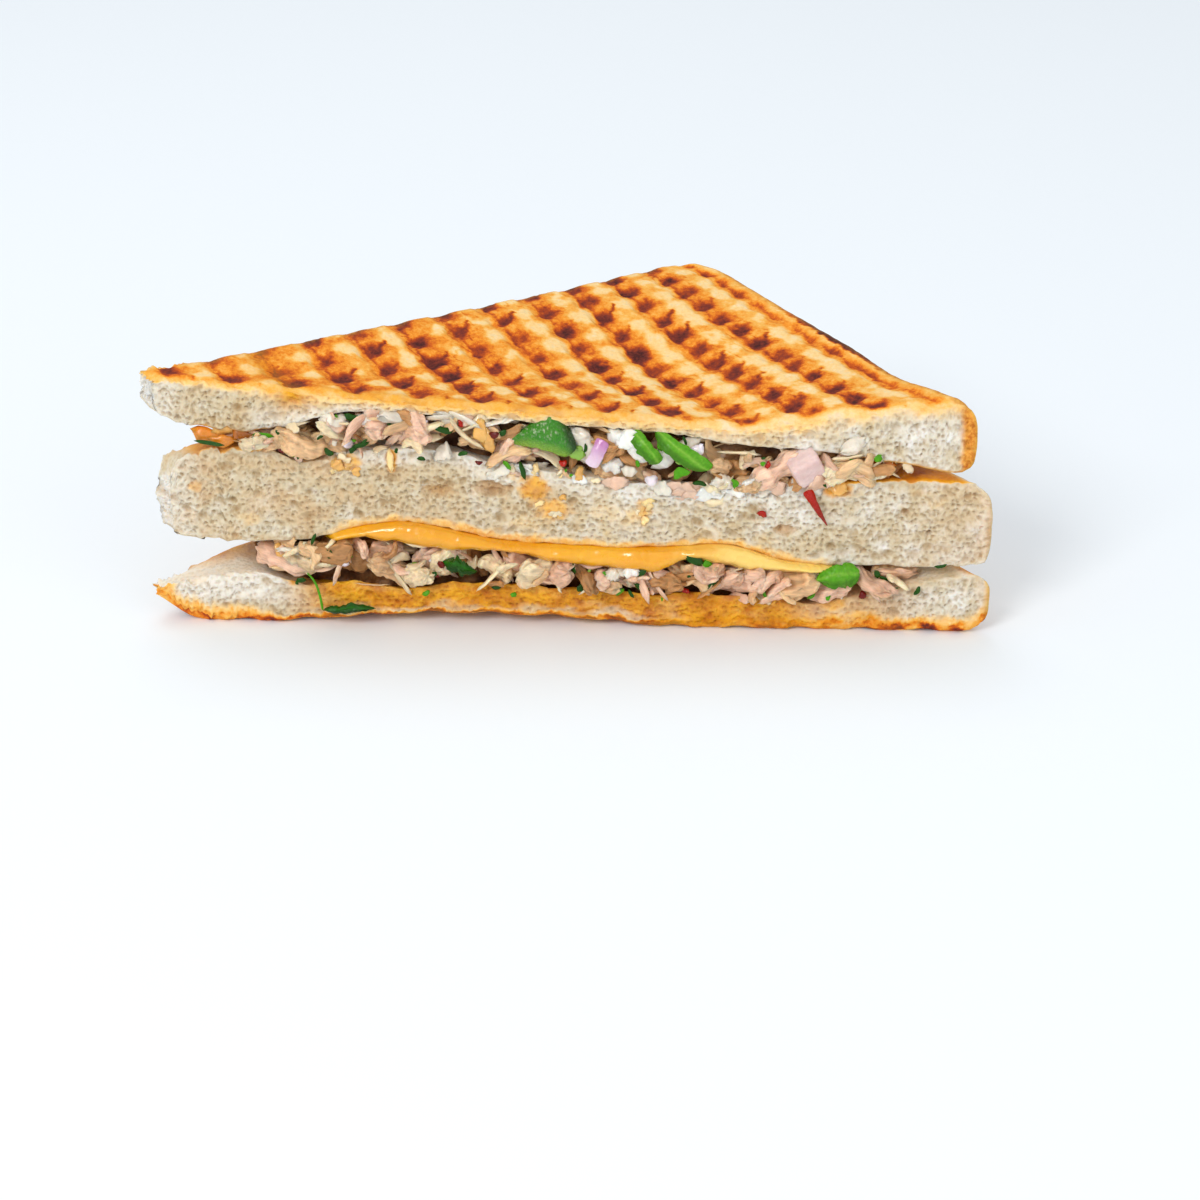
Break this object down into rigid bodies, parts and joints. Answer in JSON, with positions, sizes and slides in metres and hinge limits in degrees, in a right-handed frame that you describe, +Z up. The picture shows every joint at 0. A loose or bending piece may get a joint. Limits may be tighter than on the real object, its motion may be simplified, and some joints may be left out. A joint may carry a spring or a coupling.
{
  "type": "grilled chicken sandwich half",
  "caption": "Half of a grilled triple-decker chicken sandwich, cut corner to corner, with two layers of shredded chicken and melted cheese.",
  "frame": {"origin": "middle of the underside's box, at the height the sandwich rests on", "axes": "+X along the cut face from the narrow left corner to the right corner, +Y away from the cut towards the crusts, +Z up"},
  "size_m": [0.147, 0.0697, 0.0468],
  "materials": {
    "grilled_bread": "toasted crumb with dark grill marks",
    "white_bread": "soft open crumb with a golden crust",
    "toasted_bread": "soft crumb, toasted and ridged below",
    "chicken_salad": "moist shredded chicken in a creamy dressing",
    "chicken_piece": "moist cooked chicken",
    "melted_cheese": "glossy melted cheese",
    "green_vegetable": "wet green pepper",
    "leaf": "fresh leaf",
    "herb": "dark green herb",
    "red_onion": "wet purple onion",
    "red_chilli": "wet red chilli"
  },
  "bodies": {
    "root": {"bread_top": "grilled_bread", "filling_upper": "chicken_salad", "bread_middle": "white_bread", "cheese": "melted_cheese", "filling_lower": "chicken_salad", "bread_bottom": "toasted_bread", "chicken_cube": "chicken_piece", "green_pepper": "green_vegetable", "leaf_left": "leaf", "leaf_right": "leaf", "onion_strip": "red_onion", "chilli_sliver": "red_chilli", "lower_leaf": "leaf", "herb_tuft": "herb", "sprig_leaf": "herb"}
  },
  "joints": []
}
